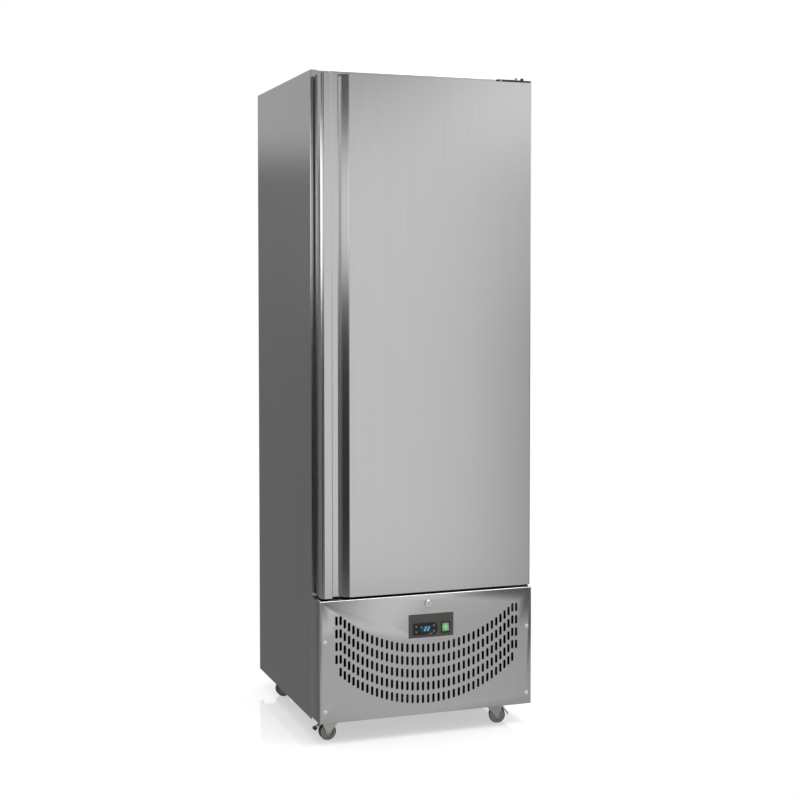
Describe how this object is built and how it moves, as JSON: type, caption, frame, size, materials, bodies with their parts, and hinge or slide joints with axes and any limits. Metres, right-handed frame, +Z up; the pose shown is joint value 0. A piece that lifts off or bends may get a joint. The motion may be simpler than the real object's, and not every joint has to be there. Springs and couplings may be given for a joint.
{
  "type": "commercial freezer",
  "caption": "Upright single-door stainless steel freezer with a folded full-length door handle, a slotted lower panel in front of its cooling unit, and swivel casters.",
  "frame": {"origin": "on the floor under the middle of the whole freezer's outline", "axes": "+Z up, -Y out of the door, +X to the right seen from the front"},
  "size_m": [0.686, 0.724, 1.99],
  "materials": {
    "stainless_front": "upright brushed stainless steel",
    "stainless_side": "upright brushed stainless steel",
    "liner_steel": "satin stainless steel",
    "galvanised": "hot dip galvanised sheet",
    "foam": "rigid polyurethane foam, closed cell",
    "grey_cap": "smooth moulded cap",
    "plate_grey": "dark grey film on sheet",
    "controller_black": "moulded",
    "display_window": "dark tinted window",
    "button_grey": "soft touch key",
    "switch_black": "moulded",
    "rocker_green": "tinted, lit from behind",
    "bright_chrome": "polished",
    "gasket_rubber": "soft extruded",
    "bush_nylon": "turned nylon",
    "bracket_black": "black powder coat",
    "bright_screw": "zinc plated",
    "caster_zinc": "zinc plated, dull",
    "wheel_grey": "grey tread on a plastic hub",
    "compressor_black": "black enamel",
    "mount_rubber": "moulded",
    "coil_fins": "bright fins",
    "motor_grey": "painted",
    "fan_aluminium": "pressed sheet",
    "fan_plastic": "moulded",
    "tray_plastic": "moulded",
    "copper_pipe": "drawn copper tube",
    "gland_plastic": "moulded",
    "rail_steel": "satin stainless steel",
    "shelf_wire": "grey coated wire"
  },
  "bodies": {
    "root": {"side_panel_left": "stainless_side", "side_panel_right": "stainless_side", "roof_panel": "stainless_side", "back_panel": "galvanised", "underside_panel": "galvanised", "cabinet_insulation": "foam", "inner_liner": "liner_steel", "front_breaker_frame": "stainless_side", "base_tray": "galvanised", "front_grille_panel": "stainless_front", "panel_screws": "grey_cap", "control_plate": "plate_grey", "controller_housing": "controller_black", "display_window": "display_window", "switch_frame": "switch_black", "lock_housing": "bright_chrome", "top_hinge_bracket": "bracket_black", "bottom_hinge_bracket": "bracket_black", "hinge_screws": "bright_screw", "caster_plates": "caster_zinc", "compressor": "compressor_black", "compressor_mounts": "mount_rubber", "condenser_coil": "coil_fins", "condenser_fan_shroud": "galvanised", "condenser_fan_motor": "motor_grey", "drip_tray": "tray_plastic", "refrigerant_pipes": "copper_pipe", "mains_gland": "gland_plastic", "evaporator_cover": "liner_steel", "evaporator_coil": "coil_fins", "evaporator_fan_motor": "motor_grey", "shelf_rails": "rail_steel", "shelf_clips": "rail_steel", "wire_shelf_1": "shelf_wire", "wire_shelf_2": "shelf_wire", "wire_shelf_3": "shelf_wire", "wire_shelf_4": "shelf_wire"},
    "door": {"door_skin": "stainless_front", "door_insulation": "foam", "door_inner_panel": "liner_steel", "door_gasket": "gasket_rubber", "hinge_bushes": "bush_nylon"},
    "lock": {"lock_cylinder": "bright_chrome"},
    "rocker": {"switch_rocker": "rocker_green"},
    "condenser_fan": {"condenser_fan_blade": "fan_aluminium"},
    "evaporator_fan": {"evaporator_fan_blade": "fan_plastic"},
    "button_up": {"button_up": "button_grey"},
    "button_down": {"button_down": "button_grey"},
    "button_set": {"button_set": "button_grey"},
    "button_defrost": {"button_defrost": "button_grey"},
    "fork_front_left": {"caster_fork_front_left": "caster_zinc"},
    "wheel_front_left": {"caster_wheel_front_left": "wheel_grey"},
    "pedal_front_left": {"brake_pedal_front_left": "caster_zinc"},
    "fork_front_right": {"caster_fork_front_right": "caster_zinc"},
    "wheel_front_right": {"caster_wheel_front_right": "wheel_grey"},
    "pedal_front_right": {"brake_pedal_front_right": "caster_zinc"},
    "fork_rear_left": {"caster_fork_rear_left": "caster_zinc"},
    "wheel_rear_left": {"caster_wheel_rear_left": "wheel_grey"},
    "fork_rear_right": {"caster_fork_rear_right": "caster_zinc"},
    "wheel_rear_right": {"caster_wheel_rear_right": "wheel_grey"}
  },
  "joints": [
    {"name": "door_hinge", "type": "hinge", "parent": "root", "child": "door", "pos_m": [0.32, -0.318, 1.2], "axis": [0, 0, 1], "range_deg": [0, 110]},
    {"name": "lock_turn", "type": "hinge", "parent": "root", "child": "lock", "pos_m": [0, -0.35, 0.3993], "axis": [0, -1, 0], "range_deg": [0, 90]},
    {"name": "rocker_tilt", "type": "hinge", "parent": "root", "child": "rocker", "pos_m": [0.0555, -0.3553, 0.3245], "axis": [1, 0, 0], "range_deg": [0, 14]},
    {"name": "button_up_press", "type": "slide", "parent": "root", "child": "button_up", "axis": [0, 1, 0], "range_m": [0, 0.0008], "stiffness_N_per_m": 300},
    {"name": "button_down_press", "type": "slide", "parent": "root", "child": "button_down", "axis": [0, 1, 0], "range_m": [0, 0.0008], "stiffness_N_per_m": 300},
    {"name": "button_set_press", "type": "slide", "parent": "root", "child": "button_set", "axis": [0, 1, 0], "range_m": [0, 0.0008], "stiffness_N_per_m": 300},
    {"name": "button_defrost_press", "type": "slide", "parent": "root", "child": "button_defrost", "axis": [0, 1, 0], "range_m": [0, 0.0008], "stiffness_N_per_m": 300},
    {"name": "condenser_fan_spin", "type": "hinge", "parent": "root", "child": "condenser_fan", "pos_m": [0, -0.176, 0.2095], "axis": [0, 1, 0], "continuous": true},
    {"name": "evaporator_fan_spin", "type": "hinge", "parent": "root", "child": "evaporator_fan", "pos_m": [0, -0.045, 1.8434], "axis": [0, 1, 0], "continuous": true},
    {"name": "swivel_front_left", "type": "hinge", "parent": "root", "child": "fork_front_left", "pos_m": [-0.276, -0.296, 0.06], "axis": [0, 0, 1], "continuous": true},
    {"name": "roll_front_left", "type": "hinge", "parent": "fork_front_left", "child": "wheel_front_left", "pos_m": [-0.3, -0.296, 0.025], "axis": [0, 1, 0], "continuous": true},
    {"name": "pedal_front_left", "type": "hinge", "parent": "fork_front_left", "child": "pedal_front_left", "pos_m": [-0.314, -0.296, 0.054], "axis": [0, 1, 0], "range_deg": [-18, 0]},
    {"name": "swivel_front_right", "type": "hinge", "parent": "root", "child": "fork_front_right", "pos_m": [0.2255, -0.296, 0.06], "axis": [0, 0, 1], "continuous": true},
    {"name": "roll_front_right", "type": "hinge", "parent": "fork_front_right", "child": "wheel_front_right", "pos_m": [0.24805, -0.30421, 0.025], "axis": [-0.342, -0.9397, 0], "continuous": true},
    {"name": "pedal_front_right", "type": "hinge", "parent": "fork_front_right", "child": "pedal_front_right", "pos_m": [0.26121, -0.309, 0.054], "axis": [-0.342, -0.9397, 0], "range_deg": [0, 18]},
    {"name": "swivel_rear_left", "type": "hinge", "parent": "root", "child": "fork_rear_left", "pos_m": [-0.276, 0.203, 0.06], "axis": [0, 0, 1], "continuous": true},
    {"name": "roll_rear_left", "type": "hinge", "parent": "fork_rear_left", "child": "wheel_rear_left", "pos_m": [-0.3, 0.203, 0.025], "axis": [0, 1, 0], "continuous": true},
    {"name": "swivel_rear_right", "type": "hinge", "parent": "root", "child": "fork_rear_right", "pos_m": [0.2255, 0.203, 0.06], "axis": [0, 0, 1], "continuous": true},
    {"name": "roll_rear_right", "type": "hinge", "parent": "fork_rear_right", "child": "wheel_rear_right", "pos_m": [0.2495, 0.203, 0.025], "axis": [0, -1, 0], "continuous": true}
  ]
}
